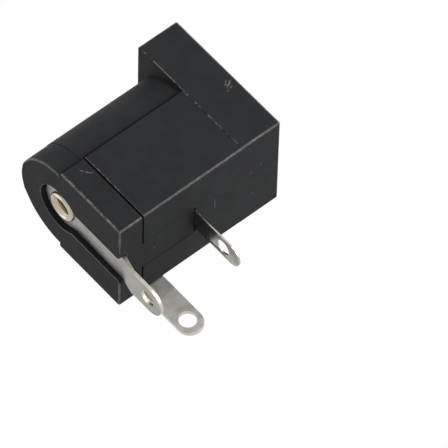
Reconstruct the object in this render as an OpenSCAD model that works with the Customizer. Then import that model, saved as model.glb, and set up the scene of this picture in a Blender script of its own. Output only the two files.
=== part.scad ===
// Right-angle DC barrel jack for a circuit board: a moulded housing with a rear cap,
// a riveted centre pin, and three sheet-metal contacts that run down through the board.
// Millimetres. z = 0 is the face that lies on the board, +Z is up off the board, and the
// plug comes in from -Y. The origin lies on the board face, under the plug axis.

/* [Housing] */
// width of the front flange
flange_w = 9; // [7:0.1:12]
// height of the front flange above the board
flange_h = 11; // [9:0.1:14]
// thickness of the front flange
flange_t = 3.42; // [2:0.02:4.5]
// radius of the flange's four long corners
flange_corner_r = 0.15; // [0.1:0.05:1]
// depth of the whole body, front face to rear face
body_l = 14.2; // [12.8:0.1:18]
// how far the flange stands out past each flat side of the body
flange_step = 0.03; // [0:0.01:0.5]
// radius along the two bottom edges of the body
bottom_edge_r = 0.15; // [0.1:0.05:1]
// radius along the top of each flat side, where it steps in to the round top
side_edge_r = 0.2; // [0.02:0.02:0.4]
// radius of the round top of the body, about the plug axis
top_r = 4.05; // [3.6:0.05:5]
// height of the plug axis above the board
axis_h = 6.45; // [6:0.05:8]
// distance from the front face back to the origin
origin_back = 4; // [3:0.5:6]

/* [Plug socket] */
// diameter of the plug bore
bore_d = 6.4; // [5.6:0.1:7]
// width of the lead-in at the bore's mouth
mouth_chamfer = 0.2; // [0.05:0.05:0.5]

/* [Centre pin] */
// diameter of the pin that goes into the plug
pin_d = 2.1; // [1.3:0.05:2.5]
// how far the pin's tip sits behind the front face
pin_recess = 0.85; // [0:0.05:2]
// diameter of the collar that backs onto the cap
pin_collar_d = 3; // [2.6:0.1:4]
// thickness of that collar
pin_collar_t = 0.8; // [0.4:0.1:1.2]
// diameter of the shank that passes through the cap
pin_shank_d = 1.9; // [1.2:0.05:2.2]
// outside diameter of the rear end where it is rolled over the terminal
rivet_d = 2.4; // [2.2:0.05:3.2]
// how far the rolled end stands up off the terminal
rivet_h = 0.3; // [0.15:0.05:0.5]
// diameter of the hollow in the rolled end
rivet_bore_d = 1.25; // [0.6:0.05:1.5]
// depth of that hollow
rivet_bore_l = 1.4; // [0.6:0.1:3]

/* [Rear cap] */
// thickness of the cap behind the seam
cap_t = 2; // [1.6:0.1:3]
// gap left open at the seam around the flat-sided lower part
seam_gap = 0.14; // [0.02:0.02:0.2]
// how far the cap's outline stands in from the body's
cap_inset = 0.03; // [0.01:0.01:0.1]
// length of the cap's spigot inside the bore
spigot_l = 1.2; // [0.6:0.1:2]
// radial play of that spigot in the bore
spigot_play = 0.03; // [0.01:0.01:0.1]
// width of the cap's tongue along the bottom
tongue_w = 2.9; // [2.6:0.1:4]
// how far the tongue's middle lies towards +X
tongue_off = 0.2; // [0:0.05:0.5]
// height of the tongue
tongue_h = 1.5; // [0.8:0.1:2.2]
// play along each side of the tongue
tongue_play = 0.03; // [0.01:0.01:0.1]
// radius at the root of the tongue
tongue_root_r = 0.3; // [0.1:0.05:0.6]
// radius of the round pocket around the rivet
pocket_r = 1.98; // [1.8:0.02:2.6]
// depth of that pocket below the rear face
pocket_depth = 0.7; // [0.5:0.05:1.2]
// width of the channel from the pocket down to the board face
channel_w = 2.6; // [2.2:0.02:3.4]
// radius with which the channel widens at the board face
channel_flare_r = 0.35; // [0.1:0.05:0.8]

/* [Rear terminal] */
// thickness of the sheet of the rear and the side terminal
sheet_t = 0.3; // [0.2:0.05:0.5]
// radius of the terminal's round head in the pocket
head_r = 1.85; // [1.5:0.05:2.4]
// width of the rear terminal below its head
tip_w = 2.5; // [2:0.1:3]
// how far its middle lies towards +X
tip_off = 0.2; // [0:0.05:0.4]
// how far the strip leans out between its head and the board face
tip_lean = 0.06; // [0:0.02:0.4]
// how far it stands out in all, further down
tip_out = 0.35; // [0:0.05:0.8]
// depth below the board face from where it runs straight down
tip_out_drop = 1.2; // [0.6:0.1:1.8]
// how far the rear terminal reaches below the board face
tip_drop = 4.3; // [3:0.1:6]

/* [Sleeve contact] */
// distance from the seam forward to the front of the sleeve terminal
sleeve_ahead = 4.74; // [4:0.02:6]
// thickness of the spring sheet
spring_t = 0.15; // [0.1:0.05:0.3]
// width of the sleeve contact's terminal
sleeve_w = 2; // [1.6:0.1:2.4]
// width of its spring leaf inside the bore
leaf_w = 1.8; // [1.4:0.1:2]
// how far the sleeve terminal reaches below the board face
sleeve_drop = 4.75; // [3:0.05:6]
// how far the leaf's bump stands into the bore
bump_h = 0.85; // [0.5:0.05:1]
// distance the bump's crest lies behind the terminal
bump_back = 2; // [1.6:0.1:2.4]
// bend radius of the spring sheet, along its middle
spring_bend_r = 0.35; // [0.3:0.05:0.45]
// depth of the leaf's flat run below the bore's floor
leaf_drop = 0.8; // [0.7:0.05:0.9]
// distance of the leaf's free end from the cap
leaf_end_gap = 0.7; // [0.4:0.1:1]
// gap along each side of the leaf in its chamber
leaf_side_gap = 0.3; // [0.1:0.05:0.5]
// distance of the holding shoulders from the slot's mouth and from its roof
shoulder_in = 0.4; // [0.2:0.05:0.5]

/* [Switch contact] */
// gap between the body's flat side and the switch contact's strip
switch_gap = 0.15; // [0:0.05:0.4]
// width of the strip beside the body
strip_w = 2.7; // [2.2:0.1:3]
// width of its terminal below the board face
switch_w = 2; // [1.6:0.05:2.4]
// height above the board where the strip steps in to its terminal
strip_step_h = 0.65; // [0.2:0.05:1.5]
// height of the tongue that goes in through the side, its underside above the bore's floor
switch_in = 0.55; // [0.3:0.05:0.7]
// how far the switch terminal reaches below the board face
switch_drop = 4.92; // [3:0.02:6]
// width of the tongue inside the bore
switch_tongue_w = 1.3; // [1:0.1:1.5]
// distance of that tongue from the cap
switch_tongue_in = 0.2; // [0.1:0.05:0.4]
// how far the strip's full width goes into the housing's wall
blade_grip = 2.15; // [1.6:0.05:2.4]
// inside bend radius at the top of the strip
switch_bend_r = 0.15; // [0.1:0.05:0.3]

/* [Solder holes] */
// diameter of the solder hole in the rear and the side terminal
solder_hole_d = 1.3; // [0.8:0.05:1.4]
// diameter of the solder hole in the sleeve terminal
sleeve_hole_d = 1.2; // [0.8:0.05:1.3]
// distance from the rear terminal's end up to the middle of its hole
tip_hole_up = 1.45; // [1.2:0.05:2]
// distance from the sleeve terminal's end up to the middle of its hole
sleeve_hole_up = 1.7; // [1.1:0.05:2]
// distance from the side terminal's end up to the middle of its hole
switch_hole_up = 1.2; // [1:0.05:1.6]

/* [Fits] */
// clearance where one piece seats against another
seat = 0.02; // [0.01:0.01:0.05]
// radial play of the pin's shank in the cap and the terminal
shank_play = 0.02; // [0.01:0.01:0.05]
// play around the switch contact in its window
window_play = 0.05; // [0.02:0.01:0.15]

/* [Hidden] */
$fn = 96;
side_x = flange_w / 2 - flange_step;
seam_y = body_l - cap_t;
sleeve_y = seam_y - sleeve_ahead;
bore_r = bore_d / 2;
bore_floor = axis_h - bore_r;
spigot_y = seam_y - spigot_l;
pin_r = pin_d / 2;
shank_r = pin_shank_d / 2;
pocket_y = body_l - pocket_depth;
head_y = pocket_y + sheet_t;
// where the rear terminal's strip starts to lean
lean_top = axis_h - head_r;
tip_end_z = tip_w / 2 - tip_drop;
sleeve_end_z = sleeve_w / 2 - sleeve_drop;
leaf_flat_z = bore_floor - leaf_drop;
crest_z = bore_floor + bump_h;
switch_h = bore_floor + switch_in;
leaf_end_z = switch_h - seat;
leaf_end_y = seam_y - leaf_end_gap;
chamber_w = leaf_w + 2 * leaf_side_gap;
shoulder_z0 = shoulder_in;
shoulder_z1 = tongue_h - shoulder_in;
strip_x = side_x + switch_gap;
strip_y1 = seam_y;
strip_y0 = seam_y - strip_w;
switch_y0 = seam_y - switch_w;
switch_end_z = switch_w / 2 - switch_drop;
switch_tongue_y1 = seam_y - switch_tongue_in;
blade_x = side_x - blade_grip;
tip_hole_z = tip_hole_up - tip_drop;
sleeve_hole_z = sleeve_hole_up - sleeve_drop;
switch_hole_z = switch_hole_up - switch_drop;
// how far a cutting shape runs past what it cuts
past = 1;
// how far one shape of a piece runs into the next
weld = 0.5;
// the same for the small corners of the slot
join = 0.01;
// sine of the angle at which the spring leaf climbs to its bump, and of the one at which it falls
climb_sine = 0.8;
fall_sine = 0.28;
// radius of the rolled end's outer edge, as a part of its height
roll_part = 0.8;
tongue_x0 = tongue_off - tongue_w / 2;
tongue_x1 = tongue_off + tongue_w / 2;

// ---- helpers -------------------------------------------------------------------------------

// Runs a flat (x, z) outline from y0 back to y1.
module front_view(y0, y1) {
  translate([0, y1, 0]) rotate([90, 0, 0]) linear_extrude(y1 - y0) children();
}

// Runs a flat (y, z) outline from x0 across to x1.
module side_view(x0, x1) {
  translate([x0, 0, 0]) rotate([90, 0, 90]) linear_extrude(x1 - x0) children();
}

// A rectangle standing on z0, with its own corner radius below and above.
module soft_rect(w, z0, z1, r_low, r_high) {
  translate([-w / 2, z0 + r_low]) square([w, z1 - z0 - r_low - r_high]);
  translate([-w / 2 + r_low, z0]) square([w - 2 * r_low, z1 - z0]);
  translate([-w / 2 + r_high, z0 + r_low]) square([w - 2 * r_high, z1 - z0 - r_low]);
  for (s = [-1, 1]) {
    translate([s * (w / 2 - r_low), z0 + r_low]) circle(r = r_low);
    translate([s * (w / 2 - r_high), z1 - r_high]) circle(r = r_high);
  }
}

// A round bar along the plug axis.
module axis_bar(r, y0, y1, r_front = 0) {
  translate([0, y0, axis_h]) rotate([-90, 0, 0])
    cylinder(h = y1 - y0, r1 = r_front > 0 ? r_front : r, r2 = r);
}

// One bend of a sheet: a ring sector that turns by a degrees, left for plus.
module bend(t, r, a) {
  s = a > 0 ? 1 : -1;
  far = 3 * (r + t);
  translate([0, s * r]) intersection() {
    difference() {
      circle(r = r + t / 2);
      circle(r = r - t / 2);
    }
    polygon([
      [0, 0],
      [0, -s * far],
      [far * sin(abs(a) / 2), -s * far * cos(abs(a) / 2)],
      [far * sin(abs(a)), -s * far * cos(abs(a))]
    ]);
  }
}

// A bent sheet seen from its edge: each step goes straight for step[0], then turns by step[1].
module sheet_path(t, r, steps, i = 0) {
  if (i < len(steps)) {
    run = steps[i][0];
    a = steps[i][1];
    s = a > 0 ? 1 : -1;
    translate([0, -t / 2]) square([run, t]);
    if (a != 0) {
      translate([run, 0]) bend(t, r, a);
      translate([run, s * r]) rotate(a) translate([0, -s * r]) sheet_path(t, r, steps, i + 1);
    }
  }
}

// ---- housing and cap -----------------------------------------------------------------------

// Outline of the body behind the flange, flat sides with a round top; g stands it in all round
// but for the bottom, which lies on the board.
module body_outline(g = 0) {
  soft_rect(2 * (side_x - g), 0, axis_h - g, bottom_edge_r, side_edge_r);
  translate([0, axis_h]) circle(r = top_r - g);
}

// Plan of the slot along the bottom, with its front wall at y0; g widens it on each side.
module slot_plan(y0, y1, g) {
  translate([tongue_x0 - g, y0]) square([tongue_w + 2 * g, y1 - y0]);
  // the rounded corners where the slot opens at the seam
  for (s = [-1, 1])
    translate([s > 0 ? tongue_x1 + g : tongue_x0 - g, seam_y - seam_gap]) difference() {
      translate([s > 0 ? -join : -tongue_root_r, -tongue_root_r])
        square([tongue_root_r + join, tongue_root_r + join]);
      translate([s * tongue_root_r, -tongue_root_r]) circle(r = tongue_root_r);
    }
}

module housing() {
  color([0.16, 0.16, 0.165]) translate([0, -origin_back, 0]) difference() {
    union() {
      front_view(0, flange_t) soft_rect(flange_w, 0, flange_h, flange_corner_r, flange_corner_r);
      front_view(flange_t - weld, seam_y) body_outline();
    }
    // the plug bore, right through to the cap, and its lead-in
    axis_bar(bore_r, -past, seam_y + past);
    axis_bar(bore_r, 0, mouth_chamfer, bore_r + mouth_chamfer);
    axis_bar(bore_r + mouth_chamfer, -past, 0);
    // the seam stays open around the flat-sided part
    translate([-flange_w, seam_y - seam_gap, -past]) cube([2 * flange_w, cap_t, axis_h + past]);
    // the slot for the cap's tongue and the sleeve terminal
    translate([0, 0, -past]) linear_extrude(tongue_h + seat + past)
      slot_plan(sleeve_y - seat, seam_y + past, 0);
    // the chamber the spring leaf moves in
    translate([-chamber_w / 2, sleeve_y - seat, tongue_h])
      cube([chamber_w, seam_y + past - sleeve_y, axis_h - tongue_h]);
    // the window the switch contact goes in through, open to the rear
    translate([0, strip_y0 - window_play, switch_h - seat])
      cube([flange_w, strip_w + cap_t, sheet_t + window_play + seat]);
  }
}

module rear_cap() {
  color([0.17, 0.17, 0.175]) translate([0, -origin_back, 0]) difference() {
    union() {
      front_view(seam_y, body_l) body_outline(cap_inset);
      // the spigot in the bore, flat below where the contacts meet
      difference() {
        axis_bar(bore_r - spigot_play, spigot_y, seam_y + weld);
        translate([-bore_r - past, spigot_y - past, 0])
          cube([2 * bore_r + 2 * past, spigot_l + past, switch_h + sheet_t + switch_tongue_in]);
      }
      // the tongue that closes the slot behind the sleeve terminal
      linear_extrude(tongue_h) intersection() {
        slot_plan(sleeve_y + spring_t + seat, seam_y + weld, -tongue_play);
        translate([-flange_w, 0]) square([2 * flange_w, seam_y + weld]);
      }
    }
    axis_bar(shank_r + shank_play, spigot_y - past, body_l);
    axis_bar(pocket_r, pocket_y, body_l + past);
    // the channel, whose floor leans out with the terminal
    side_view(tip_off - channel_w / 2, tip_off + channel_w / 2) polygon([
      [pocket_y, axis_h],
      [pocket_y, lean_top],
      [pocket_y + tip_lean, 0],
      [pocket_y + tip_lean, -past],
      [body_l + past, -past],
      [body_l + past, axis_h]
    ]);
    // its wide mouth at the board face
    front_view(pocket_y + tip_lean, body_l + past) for (s = [-1, 1])
      translate([tip_off + s * (channel_w / 2 + channel_flare_r), channel_flare_r]) difference() {
        translate([s > 0 ? -channel_flare_r - join : 0, -channel_flare_r - past])
          square([channel_flare_r + join, channel_flare_r + past]);
        circle(r = channel_flare_r);
      }
  }
}

// ---- metal ---------------------------------------------------------------------------------

module centre_pin() {
  color([0.83, 0.82, 0.78]) translate([0, -origin_back, 0]) difference() {
    union() {
      translate([0, pin_recess + pin_r, axis_h]) sphere(r = pin_r);
      axis_bar(pin_r, pin_recess + pin_r, spigot_y - seat);
      axis_bar(pin_collar_d / 2, spigot_y - seat - pin_collar_t, spigot_y - seat);
      axis_bar(shank_r, spigot_y - seat, head_y + rivet_h / 2);
      // the rear end, rolled over the terminal's head
      translate([0, head_y + seat, axis_h]) rotate([-90, 0, 0]) rotate_extrude() intersection() {
        translate([rivet_d / 2 - rivet_h * roll_part, 0]) circle(r = rivet_h * roll_part);
        square([rivet_d, rivet_h]);
      }
    }
    axis_bar(rivet_bore_d / 2, head_y + rivet_h - rivet_bore_l, body_l + past);
  }
}

module tip_terminal() {
  color([0.7, 0.68, 0.65]) translate([0, -origin_back, 0]) intersection() {
    // its edge, seen from the side: flat head, leaning strip, and the terminal, set out further
    side_view(-head_r - past, head_r + past) polygon([
      [pocket_y + seat / 2, axis_h + head_r + past],
      [pocket_y + seat / 2, lean_top],
      [pocket_y + tip_lean + seat / 2, 0],
      [pocket_y + tip_out + seat / 2, -tip_out_drop],
      [pocket_y + tip_out + seat / 2, -tip_drop - past],
      [pocket_y + tip_out + sheet_t, -tip_drop - past],
      [pocket_y + tip_out + sheet_t, -tip_out_drop],
      [pocket_y + tip_lean + sheet_t, 0],
      [pocket_y + sheet_t, lean_top],
      [pocket_y + sheet_t, axis_h + head_r + past]
    ]);
    // its face
    front_view(pocket_y - past, body_l + past) difference() {
      union() {
        translate([0, axis_h]) circle(r = head_r);
        translate([tip_off - tip_w / 2, tip_end_z]) square([tip_w, axis_h - tip_end_z]);
        translate([tip_off, tip_end_z]) circle(r = tip_w / 2);
      }
      translate([0, axis_h]) circle(r = shank_r + shank_play);
      translate([tip_off, tip_hole_z]) circle(r = solder_hole_d / 2);
    }
  }
}

module sleeve_contact() {
  rise = crest_z - spring_t / 2 - leaf_flat_z;
  up = asin(climb_sine);
  down = asin(fall_sine);
  r = spring_bend_r;
  // straight run of the climb, so that the crest comes out at its height
  climb = (rise - 2 * r * (1 - cos(up))) / sin(up);
  flat = max(0.02, bump_back - r - 2 * r * sin(up) - climb * cos(up));
  // straight run of the fall, down to the end that lies under the switch contact
  fall = max(0.02, (crest_z - leaf_end_z - 2 * r * (1 - cos(down))) / sin(down));
  reach = bump_back + 2 * r * sin(down) + fall * cos(down);
  tail = max(0.2, leaf_end_y - sleeve_y - spring_t / 2 - reach);
  color([0.72, 0.69, 0.62]) translate([0, -origin_back, 0]) difference() {
    intersection() {
      side_view(-tongue_w, tongue_w)
        translate([sleeve_y + spring_t / 2, -sleeve_drop - past]) rotate(90)
          sheet_path(spring_t, r, [
            [sleeve_drop + past + leaf_flat_z - r, -90],
            [flat, up],
            [climb, -up - down],
            [fall, down],
            [tail, 0]
          ]);
      union() {
        front_view(sleeve_y - past, sleeve_y + past) {
          translate([0, sleeve_end_z]) circle(r = sleeve_w / 2);
          translate([-sleeve_w / 2, sleeve_end_z])
            square([sleeve_w, shoulder_z1 - sleeve_end_z]);
          // the shoulders that hold the contact in its slot
          translate([tongue_x0 + tongue_play, shoulder_z0])
            square([tongue_w - 2 * tongue_play, shoulder_z1 - shoulder_z0]);
          translate([-leaf_w / 2, 0]) square([leaf_w, axis_h]);
        }
        translate([-leaf_w / 2, sleeve_y, tongue_h]) cube([leaf_w, body_l, axis_h]);
      }
    }
    translate([0, sleeve_y - past, sleeve_hole_z]) rotate([-90, 0, 0])
      cylinder(h = spring_t + 2 * past, r = sleeve_hole_d / 2);
  }
}

module switch_contact() {
  r = switch_bend_r + sheet_t / 2;
  color([0.7, 0.68, 0.65]) translate([0, -origin_back, 0]) difference() {
    intersection() {
      // its edge, seen from the front: up the side, then in through the window
      front_view(strip_y0 - past, strip_y1 + past)
        translate([strip_x + sheet_t / 2, -switch_drop - past]) rotate(90)
          sheet_path(sheet_t, r, [
            [switch_drop + past + switch_h + sheet_t / 2 - r, 90],
            [strip_x + sheet_t / 2 - r + past, 0]
          ]);
      union() {
        // the strip and its terminal
        side_view(strip_x - weld, strip_x + past) {
          translate([switch_y0 + switch_w / 2, switch_end_z]) circle(r = switch_w / 2);
          translate([switch_y0, switch_end_z]) square([switch_w, axis_h - switch_end_z]);
          translate([strip_y0, strip_step_h]) square([strip_w, axis_h]);
        }
        // the full width goes into the wall, and a narrower tongue crosses the leaf
        translate([blade_x, strip_y0, strip_step_h]) cube([strip_x, strip_w, axis_h]);
        translate([-past, switch_tongue_y1 - switch_tongue_w, 0])
          cube([blade_x + 2 * past, switch_tongue_w, axis_h]);
      }
    }
    translate([strip_x - past, seam_y - switch_w / 2, switch_hole_z]) rotate([0, 90, 0])
      cylinder(h = sheet_t + 2 * past, r = solder_hole_d / 2);
  }
}

housing();
rear_cap();
centre_pin();
tip_terminal();
sleeve_contact();
switch_contact();
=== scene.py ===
"""Looks of the DC barrel jack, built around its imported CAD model. Lengths here are in metres."""
import math

import bmesh
import bpy
from mathutils import Matrix, Vector, noise


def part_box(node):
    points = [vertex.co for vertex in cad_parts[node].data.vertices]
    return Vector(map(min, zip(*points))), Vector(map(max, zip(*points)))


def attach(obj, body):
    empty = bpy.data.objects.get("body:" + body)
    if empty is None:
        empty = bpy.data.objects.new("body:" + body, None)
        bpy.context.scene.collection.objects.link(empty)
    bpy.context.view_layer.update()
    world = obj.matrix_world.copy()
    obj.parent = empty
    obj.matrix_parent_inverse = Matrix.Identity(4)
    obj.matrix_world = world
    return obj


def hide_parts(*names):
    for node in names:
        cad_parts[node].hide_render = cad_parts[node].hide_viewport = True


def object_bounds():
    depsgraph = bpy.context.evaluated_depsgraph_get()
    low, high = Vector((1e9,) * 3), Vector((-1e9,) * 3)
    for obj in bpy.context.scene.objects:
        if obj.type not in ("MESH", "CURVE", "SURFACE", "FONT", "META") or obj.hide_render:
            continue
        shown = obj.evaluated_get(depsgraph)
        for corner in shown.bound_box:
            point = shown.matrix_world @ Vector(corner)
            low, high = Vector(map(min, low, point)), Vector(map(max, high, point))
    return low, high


MM = 0.001

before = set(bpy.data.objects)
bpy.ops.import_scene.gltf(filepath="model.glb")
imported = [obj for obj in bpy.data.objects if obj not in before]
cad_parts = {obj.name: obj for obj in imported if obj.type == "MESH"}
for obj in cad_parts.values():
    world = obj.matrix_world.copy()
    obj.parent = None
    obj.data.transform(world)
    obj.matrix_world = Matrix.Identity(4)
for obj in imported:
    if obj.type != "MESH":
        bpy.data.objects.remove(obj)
cad_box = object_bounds()

# ---- places taken from the frame -------------------------------------------------------------

HOUSING_LOW, HOUSING_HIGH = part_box("housing")
CAP_LOW, CAP_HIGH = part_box("rear_cap")
PIN_LOW, PIN_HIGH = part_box("centre_pin")
TIP_LOW, TIP_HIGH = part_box("tip_terminal")
SLEEVE_LOW, SLEEVE_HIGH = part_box("sleeve_contact")
SWITCH_LOW, SWITCH_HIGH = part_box("switch_contact")

AXIS_Z = (PIN_LOW.z + PIN_HIGH.z) / 2
FRONT_Y = HOUSING_LOW.y
REAR_Y = CAP_HIGH.y
SEAM_Y = HOUSING_HIGH.y
FLANGE_T = 3.42 * MM
FLANGE_BACK_Y = FRONT_Y + FLANGE_T
# in millimetres, for the tests on edges: the seam's width, and where the flat sides end
SEAM_GAP = 0.14
STEP_Z = 6.2
CAD_CENTRE = (cad_box[0] + cad_box[1]) / 2
FLOOR_Z = cad_box[0].z - 0.02 * MM
FLOOR_HALF = 0.6


# ---- camera ----------------------------------------------------------------------------------

CAMERA_AIM = Vector((1.502, 1.642, -0.874)) * MM
CAMERA_DISTANCE = 457.13 * MM
CAMERA_AZIMUTH = 245.854
CAMERA_ELEVATION = -24.728
CAMERA_ROLL = 45.253
CAMERA_LENS = 538.5


def add_camera():
    """The photograph's view: from behind, from the -X side and from below the board face."""
    azimuth, elevation = math.radians(CAMERA_AZIMUTH), math.radians(CAMERA_ELEVATION)
    back = Vector((
        math.sin(azimuth) * math.cos(elevation),
        -math.cos(azimuth) * math.cos(elevation),
        math.sin(elevation),
    ))
    data = bpy.data.cameras.new("camera")
    data.sensor_width = 36
    data.lens = CAMERA_LENS
    data.clip_start = 0.01
    data.clip_end = 10
    camera = bpy.data.objects.new("camera", data)
    bpy.context.scene.collection.objects.link(camera)
    camera.rotation_mode = "QUATERNION"
    level = (-back).to_track_quat("-Z", "Y")
    roll = Matrix.Rotation(math.radians(-CAMERA_ROLL), 3, "Z").to_quaternion()
    camera.rotation_quaternion = level @ roll
    camera.location = CAMERA_AIM + back * CAMERA_DISTANCE
    bpy.context.scene.camera = camera


# ---- light, world and floor ------------------------------------------------------------------


def add_lamp(name, direction, distance, size, power):
    """A square soft lamp that faces the object from a direction, with its power in watts."""
    data = bpy.data.lights.new(name, "AREA")
    data.shape = "SQUARE"
    data.size = size
    data.energy = power
    lamp = bpy.data.objects.new(name, data)
    bpy.context.scene.collection.objects.link(lamp)
    away = Vector(direction).normalized()
    lamp.location = CAD_CENTRE + away * distance
    lamp.rotation_mode = "QUATERNION"
    lamp.rotation_quaternion = (-away).to_track_quat("-Z", "Y")
    return lamp


def add_lamps():
    add_lamp("key_below", (-0.55, -0.38, -0.74), 0.30, 0.20, 0.60)
    add_lamp("side", (-0.95, -0.26, -0.12), 0.30, 0.16, 0.30)
    add_lamp("top_rear", (0.15, 0.72, 0.68), 0.35, 0.25, 0.25)
    add_lamp("front", (-0.20, -0.78, 0.58), 0.35, 0.20, 0.40)


def add_world():
    """White for what the camera and mirrored rays see, and a softer level for what it lights."""
    world = bpy.data.worlds.new("world")
    bpy.context.scene.world = world
    world.use_nodes = True
    tree = world.node_tree
    tree.nodes.clear()
    out = tree.nodes.new("ShaderNodeOutputWorld")
    ambient = tree.nodes.new("ShaderNodeBackground")
    ambient.inputs["Color"].default_value = (1, 1, 1, 1)
    ambient.inputs["Strength"].default_value = 0.45
    white = tree.nodes.new("ShaderNodeBackground")
    white.inputs["Color"].default_value = (1, 1, 1, 1)
    white.inputs["Strength"].default_value = 1.0
    path = tree.nodes.new("ShaderNodeLightPath")
    seen = add_math(tree, "MAXIMUM", path.outputs["Is Camera Ray"], path.outputs["Is Glossy Ray"])
    seen = add_math(tree, "MAXIMUM", seen, path.outputs["Is Transmission Ray"])
    mix = tree.nodes.new("ShaderNodeMixShader")
    tree.links.new(seen, mix.inputs[0])
    tree.links.new(ambient.outputs[0], mix.inputs[1])
    tree.links.new(white.outputs[0], mix.inputs[2])
    tree.links.new(mix.outputs[0], out.inputs["Surface"])


def add_floor():
    """A pale floor under the terminals. It is seen from above only, and lets light through."""
    mesh = bpy.data.meshes.new("floor")
    corners = [(-1, -1), (1, -1), (1, 1), (-1, 1)]
    mesh.from_pydata([(x * FLOOR_HALF, y * FLOOR_HALF, FLOOR_Z) for x, y in corners], [], [(0, 1, 2, 3)])
    floor = bpy.data.objects.new("floor", mesh)
    bpy.context.scene.collection.objects.link(floor)
    floor.visible_shadow = False
    floor.visible_glossy = False
    material = bpy.data.materials.new("floor")
    material.use_nodes = True
    tree = material.node_tree
    tree.nodes.clear()
    out = tree.nodes.new("ShaderNodeOutputMaterial")
    pale = tree.nodes.new("ShaderNodeBsdfDiffuse")
    pale.inputs["Color"].default_value = (0.86, 0.86, 0.86, 1)
    clear = tree.nodes.new("ShaderNodeBsdfTransparent")
    geometry = tree.nodes.new("ShaderNodeNewGeometry")
    mix = tree.nodes.new("ShaderNodeMixShader")
    tree.links.new(geometry.outputs["Backfacing"], mix.inputs[0])
    tree.links.new(pale.outputs[0], mix.inputs[1])
    tree.links.new(clear.outputs[0], mix.inputs[2])
    tree.links.new(mix.outputs[0], out.inputs["Surface"])
    mesh.materials.append(material)


def add_math(tree, operation, a, b=None, c=None):
    """A Math node; each of a, b and c is a socket or a number."""
    node = tree.nodes.new("ShaderNodeMath")
    node.operation = operation
    for socket, value in zip(node.inputs, (a, b, c)):
        if value is None:
            continue
        if isinstance(value, (int, float)):
            socket.default_value = value
        else:
            tree.links.new(value, socket)
    return node.outputs[0]


# ---- materials -------------------------------------------------------------------------------


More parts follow.
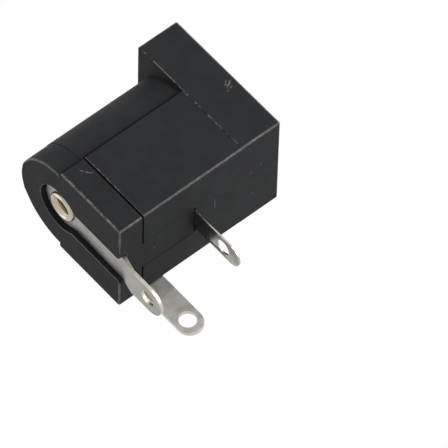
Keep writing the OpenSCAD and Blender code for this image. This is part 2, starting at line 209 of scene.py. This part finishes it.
class Finish:
    """One material's node tree, with short ways to add to it. Places in it are in millimetres."""

    def __init__(self, name):
        self.material = bpy.data.materials.new(name)
        self.material.use_nodes = True
        self.tree = self.material.node_tree
        self.shader = self.tree.nodes["Principled BSDF"]
        coordinates = self.tree.nodes.new("ShaderNodeTexCoord")
        self.place = self.vector("SCALE", coordinates.outputs["Object"], scale=1 / MM)
        self.geometry = self.tree.nodes.new("ShaderNodeNewGeometry")
        split = self.tree.nodes.new("ShaderNodeSeparateXYZ")
        self.tree.links.new(self.place, split.inputs[0])
        self.x, self.y, self.z = split.outputs

    def put(self, socket, value):
        """Sets a socket to a number, a colour or a vector, or joins it to another socket."""
        if isinstance(value, bpy.types.NodeSocket):
            self.tree.links.new(value, socket)
        elif isinstance(value, tuple) and socket.type == "RGBA":
            socket.default_value = (*value, 1)
        else:
            socket.default_value = value

    def math(self, operation, a, b=None, c=None):
        return add_math(self.tree, operation, a, b, c)

    def vector(self, operation, a, b=None, scale=None):
        node = self.tree.nodes.new("ShaderNodeVectorMath")
        node.operation = operation
        self.put(node.inputs[0], a)
        if b is not None:
            self.put(node.inputs[1], b)
        if scale is not None:
            self.put(node.inputs["Scale"], scale)
        return node.outputs["Value" if operation in ("LENGTH", "DOT_PRODUCT", "DISTANCE") else "Vector"]

    def stretch(self, x, y, z):
        """The place in millimetres, stretched along each axis."""
        return self.vector("MULTIPLY", self.place, (x, y, z))

    def noise(self, scale, detail=2.0, rough=0.5, at=None):
        node = self.tree.nodes.new("ShaderNodeTexNoise")
        self.put(node.inputs["Vector"], at or self.place)
        node.inputs["Scale"].default_value = scale
        node.inputs["Detail"].default_value = detail
        node.inputs["Roughness"].default_value = rough
        return node.outputs["Fac"]

    def steps(self, value, low, high, to_low=0.0, to_high=1.0):
        """A smooth step from to_low, up to low, to to_high, from high on."""
        node = self.tree.nodes.new("ShaderNodeMapRange")
        node.interpolation_type = "SMOOTHSTEP"
        for name, number in (("Value", value), ("From Min", low), ("From Max", high),
                             ("To Min", to_low), ("To Max", to_high)):
            self.put(node.inputs[name], number)
        return node.outputs["Result"]

    def blend(self, part, a, b):
        """A mix of two colours."""
        node = self.tree.nodes.new("ShaderNodeMix")
        node.data_type = "RGBA"
        self.put(node.inputs["Factor"], part)
        self.put(node.inputs[6], a)
        self.put(node.inputs[7], b)
        return node.outputs[2]

    def most(self, *masks):
        total = masks[0]
        for mask in masks[1:]:
            total = self.math("MAXIMUM", total, mask)
        return total

    def times(self, *masks):
        total = masks[0]
        for mask in masks[1:]:
            total = self.math("MULTIPLY", total, mask)
        return total

    def specks(self, scale, size, share):
        """Small dots: scale cells to the millimetre, of a size in cells, in that share of the cells."""
        node = self.tree.nodes.new("ShaderNodeTexVoronoi")
        self.put(node.inputs["Vector"], self.place)
        node.inputs["Scale"].default_value = scale
        split = self.tree.nodes.new("ShaderNodeSeparateColor")
        self.tree.links.new(node.outputs["Color"], split.inputs[0])
        chosen = self.math("LESS_THAN", split.outputs[0], share)
        reach = self.math("MULTIPLY_ADD", split.outputs[1], size, size / 2)
        dot = self.math("DIVIDE", node.outputs["Distance"], reach)
        return self.times(self.steps(dot, 0.5, 1.0, 1.0, 0.0), chosen)

    def spot(self, centre, radius):
        """A soft round mark of a radius about a place."""
        away = self.vector("DISTANCE", self.wavy, centre)
        return self.steps(away, radius * 0.4, radius, 1.0, 0.0)

    def stroke(self, start, end, width):
        """A thin mark from one place to another."""
        start, end = Vector(start), Vector(end)
        along = end - start
        rel = self.vector("SUBTRACT", self.wavy, tuple(start))
        part = self.vector("DOT_PRODUCT", rel, tuple(along / along.length_squared))
        part = self.math("MINIMUM", self.math("MAXIMUM", part, 0.0), 1.0)
        foot = self.vector("SCALE", tuple(along), scale=part)
        away = self.vector("DISTANCE", rel, foot)
        return self.steps(away, width * 0.3, width, 1.0, 0.0)

    def ripple(self, amount, scale):
        """Keeps a slightly wavy copy of the place, so that marks have uneven outlines."""
        node = self.tree.nodes.new("ShaderNodeTexNoise")
        self.put(node.inputs["Vector"], self.place)
        node.inputs["Scale"].default_value = scale
        node.inputs["Detail"].default_value = 2.0
        offset = self.vector("SUBTRACT", node.outputs["Color"], (0.5, 0.5, 0.5))
        self.wavy = self.vector("ADD", self.place, self.vector("SCALE", offset, scale=amount))

    def attribute(self, name):
        node = self.tree.nodes.new("ShaderNodeAttribute")
        node.attribute_name = name
        return node.outputs["Fac"]

    def bump(self, height, distance, strength=1.0, under=None):
        node = self.tree.nodes.new("ShaderNodeBump")
        node.inputs["Strength"].default_value = strength
        node.inputs["Distance"].default_value = distance * MM
        self.put(node.inputs["Height"], height)
        if under is not None:
            self.put(node.inputs["Normal"], under)
        return node.outputs["Normal"]

    def finish(self, colour, roughness, normal, metallic, level):
        self.put(self.shader.inputs["Base Color"], colour)
        self.put(self.shader.inputs["Roughness"], roughness)
        self.put(self.shader.inputs["Normal"], normal)
        self.put(self.shader.inputs["Metallic"], metallic)
        self.put(self.shader.inputs["Specular IOR Level"], level)
        return self.material


# marks on the plastic: thin strokes from place to place, with a width, and round spots
STROKES = [
    ((-4.5, -3.60, 4.86), (-4.5, -3.28, 4.62), 0.10),
    ((-4.5, -3.38, 5.02), (-4.5, -3.10, 4.72), 0.07),
    ((-4.5, -3.35, 4.40), (-4.5, -2.92, 4.28), 0.09),
    ((-4.5, -3.20, 4.66), (-4.5, -3.02, 4.50), 0.07),
    ((-4.44, 9.00, 5.70), (-4.44, 8.72, 5.22), 0.06),
    ((-4.44, 8.72, 5.22), (-4.44, 8.44, 4.92), 0.06),
    ((-0.75, 1.80, 0.0), (0.34, 1.74, 0.0), 0.06),
]
# burrs along moulded edges, broken up by noise
BURRS = [
    ((-4.5, -0.59, 10.6), (-4.5, -0.59, 0.5), 0.08),
    ((-4.30, 10.12, 7.35), (-4.43, 10.12, 6.30), 0.12),
    ((-4.43, 10.12, 6.30), (-4.43, 10.12, 0.20), 0.09),
    ((-4.47, 8.04, 6.25), (-4.47, 8.04, 2.60), 0.07),
    ((-3.70, 10.02, 8.20), (-4.30, 10.12, 7.35), 0.12),
]
SPOTS = [
    ((-4.05, 1.16, 7.82), 0.10),
    ((-4.40, 2.12, 6.68), 0.08),
    ((-4.10, 6.71, 7.14), 0.12),
    ((0.17, 7.13, 0.0), 0.09),
    ((-0.87, -1.44, 0.0), 0.10),
    ((-1.13, -2.34, 0.0), 0.08),
    ((-0.80, 1.07, 0.0), 0.08),
    ((1.74, -1.61, 0.0), 0.10),
    ((-4.40, 10.14, 7.90), 0.14),
    ((-4.40, 10.12, 6.75), 0.20),
    ((-4.42, 10.14, 5.90), 0.12),
    ((-4.42, 10.14, 5.20), 0.16),
    ((-4.42, 10.14, 4.10), 0.14),
]


def plastic(name, colour, pale):
    """Black moulded plastic: matt and faintly grained, with burred edges, edges lighter from wear and
    from a painted highlight, dust and marks.
    """
    f = Finish(name)
    f.ripple(0.12, 6.0)
    edge = f.attribute("edge")
    broken = f.noise(3.2, 3.0, 0.6)
    # edge wear, whose lighter colour is also a painted highlight along the rounded edges
    edge_wear_and_highlight = f.times(edge, f.steps(broken, 0.42, 0.66))
    dust = f.specks(1.3, 0.05, 0.30)
    uneven = f.steps(f.noise(2.4, 3.0, 0.65), 0.44, 0.62)
    burrs = [f.times(f.stroke(*burr), uneven) for burr in BURRS]
    marks = [f.times(f.stroke(*stroke), 0.8) for stroke in STROKES]
    marks += [f.times(f.spot(*spot), 0.6) for spot in SPOTS]
    scratch = f.times(f.most(*marks), f.steps(f.noise(9.0, 2.0), 0.36, 0.58))
    scratch = f.most(scratch, f.times(f.most(*burrs), 0.8))
    # painted shade: the step above the body's flat sides is painted dark and less glossy; the flange has
    # none
    behind_flange = f.steps(f.y, FLANGE_BACK_Y / MM, FLANGE_BACK_Y / MM + 0.1)
    step = f.times(f.steps(f.z, 6.18, 6.26), f.steps(f.z, 6.46, 6.54, 1.0, 0.0),
                   f.steps(f.math("ABSOLUTE", f.x), 3.9, 4.0), behind_flange)
    cloud = f.noise(0.55, 3.0, 0.55)
    grain = f.noise(11.0, 2.0, 0.6)
    tone = f.blend(f.steps(cloud, 0.32, 0.70), colour, tuple(c * 1.35 for c in colour))
    tone = f.blend(f.times(grain, 0.35), tone, tuple(c * 1.8 for c in colour))
    # lighter edges: wear and painted highlight
    tone = f.blend(f.times(edge_wear_and_highlight, 0.45), tone, pale)
    tone = f.blend(f.times(dust, 0.35), tone, pale)
    tone = f.blend(scratch, tone, pale)
    # painted shade on the step
    tone = f.blend(f.times(step, 0.7), tone, tuple(c * 0.4 for c in colour))
    roughness = f.math("MULTIPLY_ADD", f.noise(2.2, 3.0), 0.14, 0.56)
    roughness = f.math("SUBTRACT", roughness, f.times(edge, 0.20))
    fine = f.bump(f.noise(16.0, 3.0, 0.6), 0.012, 0.8)
    soft = f.bump(f.noise(0.9, 2.0), 0.05, 0.5, fine)
    raised = f.bump(f.most(edge_wear_and_highlight, scratch, dust), 0.02, 0.6, soft)
    level = f.math("MULTIPLY_ADD", edge, 0.40, 0.07)
    # the painted shade on the step also loses its gloss
    level = f.math("MULTIPLY", level, f.math("SUBTRACT", 1.0, f.times(step, 0.9)))
    return f.finish(tone, roughness, raised, 0.0, level)


def sheet_metal(name, across, dimples=(), polish=0.36, shade=0.80):
    """Tin-plated sheet, satin and a little blotchy, with warmer cut edges painted brighter as a
    highlight, painted shade in the dimples, and a painted light level for each contact.
    """
    f = Finish(name)
    f.ripple(0.10, 5.0)
    facing = f.math("ABSOLUTE", f.vector("DOT_PRODUCT", f.geometry.outputs["True Normal"], across))
    cut = f.steps(facing, 0.35, 0.75, 1.0, 0.0)
    blotch = f.noise(0.9, 4.0, 0.6)
    stain = f.steps(f.noise(1.7, 4.0, 0.65), 0.55, 0.78)
    streak = f.noise(1.0, 3.0, 0.6, f.stretch(9.0, 9.0, 0.7))
    # the shade factor is painted light: it makes this contact's tin darker or lighter for the light it
    # gets
    base = [tuple(c * shade for c in colour) for colour in (
        (0.42, 0.405, 0.38), (0.50, 0.485, 0.45), (0.36, 0.33, 0.26), (0.38, 0.36, 0.32))]
    tone = f.blend(f.steps(blotch, 0.35, 0.68), base[0], base[1])
    tone = f.blend(f.times(stain, 0.55), tone, base[2])
    tone = f.blend(f.times(streak, 0.25), tone, base[3])
    # cut edges: warmer bare metal, with a painted highlight in their extra brightness
    tone = f.blend(f.times(cut, 0.75), tone, (0.60, 0.56, 0.44))
    pits = f.specks(2.2, 0.05, 0.22)
    tone = f.blend(f.times(pits, 0.6), tone, (0.16, 0.14, 0.11))
    roughness = f.math("MULTIPLY_ADD", f.noise(2.6, 3.0), 0.20, polish - 0.10)
    roughness = f.math("ADD", roughness, f.times(stain, 0.10))
    brushed = f.bump(streak, 0.012, 0.6)
    uneven = f.bump(f.noise(0.5, 2.0), 0.16, 0.5, brushed)
    if dimples:
        hollow = f.most(*[f.spot(*dimple) for dimple in dimples])
        # painted shade in the dimples' hollows
        tone = f.blend(f.times(hollow, 0.6), tone, (0.22, 0.19, 0.12))
        uneven = f.bump(f.math("SUBTRACT", 1.0, hollow), 0.05, 0.7, uneven)
    return f.finish(tone, roughness, uneven, 1.0, 0.5)


def turned_metal(name):
    """Nickel plate over turned brass, with fine rings and a brown line beside the rolled end."""
    f = Finish(name)
    f.ripple(0.06, 4.0)
    flat = f.vector("MULTIPLY", f.vector("SUBTRACT", f.place, (0.0, 0.0, AXIS_Z / MM)), (1.0, 0.0, 1.0))
    radius = f.vector("LENGTH", flat)
    rings = f.math("SINE", f.math("ADD", f.times(radius, 70.0), f.times(f.y, 42.0)))
    blotch = f.noise(1.8, 4.0, 0.6)
    tone = f.blend(f.steps(blotch, 0.34, 0.70), (0.50, 0.46, 0.40), (0.42, 0.37, 0.28))
    rear = f.steps(f.y, 9.0, 9.5)
    inside = f.times(rear, f.steps(radius, 0.60, 0.72, 1.0, 0.0))
    tone = f.blend(f.times(inside, 0.8), tone, (0.46, 0.40, 0.17))
    stain = f.steps(f.noise(2.6, 3.0), 0.50, 0.72)
    rim = f.times(rear, f.steps(radius, 1.10, 1.17), f.steps(f.z, 6.2, 7.0))
    tone = f.blend(f.times(f.most(rim, f.times(stain, 0.4)), 0.7), tone, (0.25, 0.14, 0.07))
    roughness = f.math("MULTIPLY_ADD", f.noise(3.0, 3.0), 0.16, 0.20)
    turned = f.bump(rings, 0.004, 0.5)
    uneven = f.bump(f.noise(1.6, 3.0), 0.06, 0.6, turned)
    return f.finish(tone, roughness, uneven, 1.0, 0.5)


# ---- pieces ----------------------------------------------------------------------------------


def node_mesh(name):
    """A CAD node's mesh, with its split corners joined and its flat faces whole."""
    bm = bmesh.new()
    bm.from_mesh(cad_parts[name].data)
    bmesh.ops.remove_doubles(bm, verts=bm.verts, dist=0.0004 * MM)
    bmesh.ops.dissolve_limit(bm, angle_limit=math.radians(0.5), verts=bm.verts, edges=bm.edges)
    bm.faces.layers.float.new("edge")
    return bm


def sharp(bm, least=30, test=None):
    """The edges that stick out by more than an angle in degrees, where a test of both ends is true."""
    found = []
    for edge in bm.edges:
        if len(edge.link_faces) == 2 and edge.is_convex:
            if edge.calc_face_angle() > math.radians(least):
                a, b = (v.co / MM for v in edge.verts)
                if test is None or (test(a) and test(b)):
                    found.append(edge)
    return found


def roughen(bm, edges, step, amount, along):
    """Cuts edges into steps of that length and moves the new corners a little along one axis."""
    for edge in edges:
        cuts = int(edge.calc_length() / (step * MM)) - 1
        if cuts < 1:
            continue
        new = bmesh.ops.subdivide_edges(bm, edges=[edge], cuts=cuts)
        for part in new["geom_inner"]:
            if isinstance(part, bmesh.types.BMVert):
                shake = noise.noise(part.co / MM * 1.7) + 0.5 * noise.noise(part.co / MM * 5.0)
                part.co[along] += shake * amount * MM


def round_off(bm, edges, width, segments=3, mark=1.0):
    """Rounds edges by a width in millimetres and marks the new faces as edges for the finish."""
    done = bmesh.ops.bevel(
        bm, geom=edges, offset=width * MM, offset_type="OFFSET", segments=segments,
        profile=0.5, affect="EDGES", clamp_overlap=False,
    )
    layer = bm.faces.layers.float["edge"]
    for face in done["faces"]:
        face[layer] = mark


def mark_corners(bm):
    """Marks the faces that already round the long edges at the bottom and along the flange."""
    # the marked faces take the lighter edge colour, which is wear and painted highlight
    layer = bm.faces.layers.float["edge"]
    for face in bm.faces:
        middle = face.calc_center_median() / MM
        slanted = max(abs(c) for c in face.normal) < 0.985
        if slanted and abs(middle.x) > 4.2 and (middle.z < 0.3 or middle.z > 10.7):
            face[layer] = 1.0


def add_piece(name, bm, material, node):
    """Turns a mesh into a piece that stands for one CAD node."""
    for face in bm.faces:
        face.smooth = True
    for edge in bm.edges:
        edge.smooth = len(edge.link_faces) == 2 and edge.calc_face_angle() < math.radians(34)
    mesh = bpy.data.meshes.new(name)
    bm.to_mesh(mesh)
    bm.free()
    mesh.materials.append(material)
    piece = bpy.data.objects.new(name, mesh)
    bpy.context.scene.collection.objects.link(piece)
    even = piece.modifiers.new("even_shading", "WEIGHTED_NORMAL")
    even.keep_sharp = True
    even.weight = 80
    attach(piece, "root")
    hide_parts(node)
    return piece


def beside_slot(p):
    """True on the slot and the tongue at the bottom, which meet in a plain narrow line."""
    return abs(p.x) < 2.3 and p.z < 1.6 and p.y < SEAM_Y / MM + 0.01


def tongue_line(p):
    """True on the bottom's line between the slot and the tongue, on the +X side."""
    return beside_slot(p) and p.x > 1.3 and p.z < 0.01


def add_housing(material):
    bm = node_mesh("housing")
    mark_corners(bm)
    front = FRONT_Y / MM
    seam = SEAM_Y / MM
    step = FLANGE_BACK_Y / MM
    lower_seam = seam - SEAM_GAP
    on_seam = lambda p: abs(p.y - lower_seam) < 0.01 and p.z < STEP_Z and abs(p.x) > 2.4
    roughen(bm, sharp(bm, test=on_seam), 0.35, 0.03, 1)
    on_rim = lambda p: abs(p.y - front) < 0.01 and (abs(p.x) > 4.2 or p.z < 0.3 or p.z > 10.7)
    round_off(bm, sharp(bm, test=on_rim), 0.13, 4)
    low_step = lambda p: abs(p.y - step) < 0.01
    fine = lambda p: not beside_slot(p) and not low_step(p) and p.y < seam - 0.01
    round_off(bm, sharp(bm, least=40, test=fine), 0.04)
    round_off(bm, sharp(bm, least=40, test=tongue_line), 0.04, 2, 0.0)
    add_piece("housing_moulding", bm, material, "housing")


def add_cap(material):
    bm = node_mesh("rear_cap")
    mark_corners(bm)
    seam = SEAM_Y / MM
    rear = REAR_Y / MM

    def outline(p):
        inside = abs(p.x - 0.2) < 1.7 and p.z > 0.01
        return abs(p.y - rear) < 0.01 and not inside and math.hypot(p.x, p.z - AXIS_Z / MM) > 2.2

    burred = sharp(bm, test=lambda p: outline(p) and p.z < STEP_Z and p.x < 0)
    roughen(bm, burred, 0.4, 0.03, 1)
    round_off(bm, sharp(bm, test=outline), 0.11)
    lower = lambda p: not beside_slot(p) and (p.z < STEP_Z or p.y > seam + 0.05)
    round_off(bm, sharp(bm, least=40, test=lower), 0.05)
    round_off(bm, sharp(bm, least=40, test=tongue_line), 0.04, 2, 0.0)
    # rounding leaves slivers with no area where short edges meet
    bmesh.ops.remove_doubles(bm, verts=bm.verts, dist=0.0005 * MM)
    bmesh.ops.dissolve_degenerate(bm, dist=0.0005 * MM, edges=bm.edges)
    add_piece("rear_cap_moulding", bm, material, "rear_cap")


def add_sheet(name, node, material):
    """A stamped contact, its cut edges a little rounded."""
    bm = node_mesh(node)
    round_off(bm, sharp(bm, least=50), 0.03, 2)
    add_piece(name, bm, material, node)


def add_pin(material):
    """The turned pin, spun round the plug axis, with its rear end rolled over the terminal."""
    front = PIN_LOW.y / MM
    rear = PIN_HIGH.y / MM
    outline = []
    for i in range(13):
        a = math.radians(90 * i / 12)
        outline.append((front + 1.05 * (1 - math.cos(a)), 1.05 * math.sin(a)))
    collar = 6.18
    outline += [(collar, 1.05), (collar, 1.44), (collar + 0.06, 1.5), (collar + 0.74, 1.5),
                (collar + 0.8, 1.44), (collar + 0.8, 0.95), (rear - 0.24, 0.95)]
    # the rolled end: out over the terminal, round, and back in to the hollow
    for i in range(15):
        a = math.radians(160 * i / 14)
        outline.append((rear - 0.24 + 0.24 * math.sin(a), 0.97 + 0.23 * math.cos(a)))
    outline += [(rear - 0.21, 0.69), (rear - 0.30, 0.64), (rear - 0.5, 0.625),
                (rear - 1.25, 0.60), (rear - 1.36, 0.0)]
    bm = bmesh.new()
    bm.faces.layers.float.new("edge")
    turns = 96
    rings = []
    for y, r in outline:
        if r < 0.001:
            rings.append([bm.verts.new((0, y * MM, AXIS_Z))] * turns)
        else:
            rings.append([
                bm.verts.new((r * MM * math.sin(2 * math.pi * k / turns), y * MM,
                              AXIS_Z + r * MM * math.cos(2 * math.pi * k / turns)))
                for k in range(turns)
            ])
    for one, two in zip(rings, rings[1:]):
        for k in range(turns):
            corners = [one[k], one[(k + 1) % turns], two[(k + 1) % turns], two[k]]
            corners = list(dict.fromkeys(corners))
            bm.faces.new(corners)
    bmesh.ops.recalc_face_normals(bm, faces=bm.faces)
    add_piece("turned_pin", bm, material, "centre_pin")


scene = bpy.context.scene
scene.view_settings.view_transform = "Standard"
add_camera()
add_lamps()
add_world()
add_floor()

PLASTIC = (0.0150, 0.0156, 0.0166)
# pale colour of wear, dust, scratches and the painted edge highlight
PALE_WEAR_AND_HIGHLIGHT = (0.15, 0.15, 0.145)
add_housing(plastic("housing_black", PLASTIC, PALE_WEAR_AND_HIGHLIGHT))
add_cap(plastic("cap_black", tuple(c * 0.95 for c in PLASTIC), PALE_WEAR_AND_HIGHLIGHT))
add_pin(turned_metal("nickel"))
# dimples on the tip contact, darkened with painted shade
TIP_DIMPLES = (((0.57, 9.85, 2.53), 0.18), ((0.82, 9.86, 2.15), 0.16))
# the same tin on all three contacts; the last number is painted light, darker or lighter per contact
tip_metal = sheet_metal("tip_tin", (0, 1, 0), TIP_DIMPLES, 0.40, 0.72)
add_sheet("tip_strip", "tip_terminal", tip_metal)
sleeve_metal = sheet_metal("sleeve_tin", (0, 1, 0), (), 0.22, 0.75)
add_sheet("sleeve_spring", "sleeve_contact", sleeve_metal)
switch_metal = sheet_metal("switch_tin", (1, 0, 0), (), 0.50, 1.0)
add_sheet("switch_strip", "switch_contact", switch_metal)
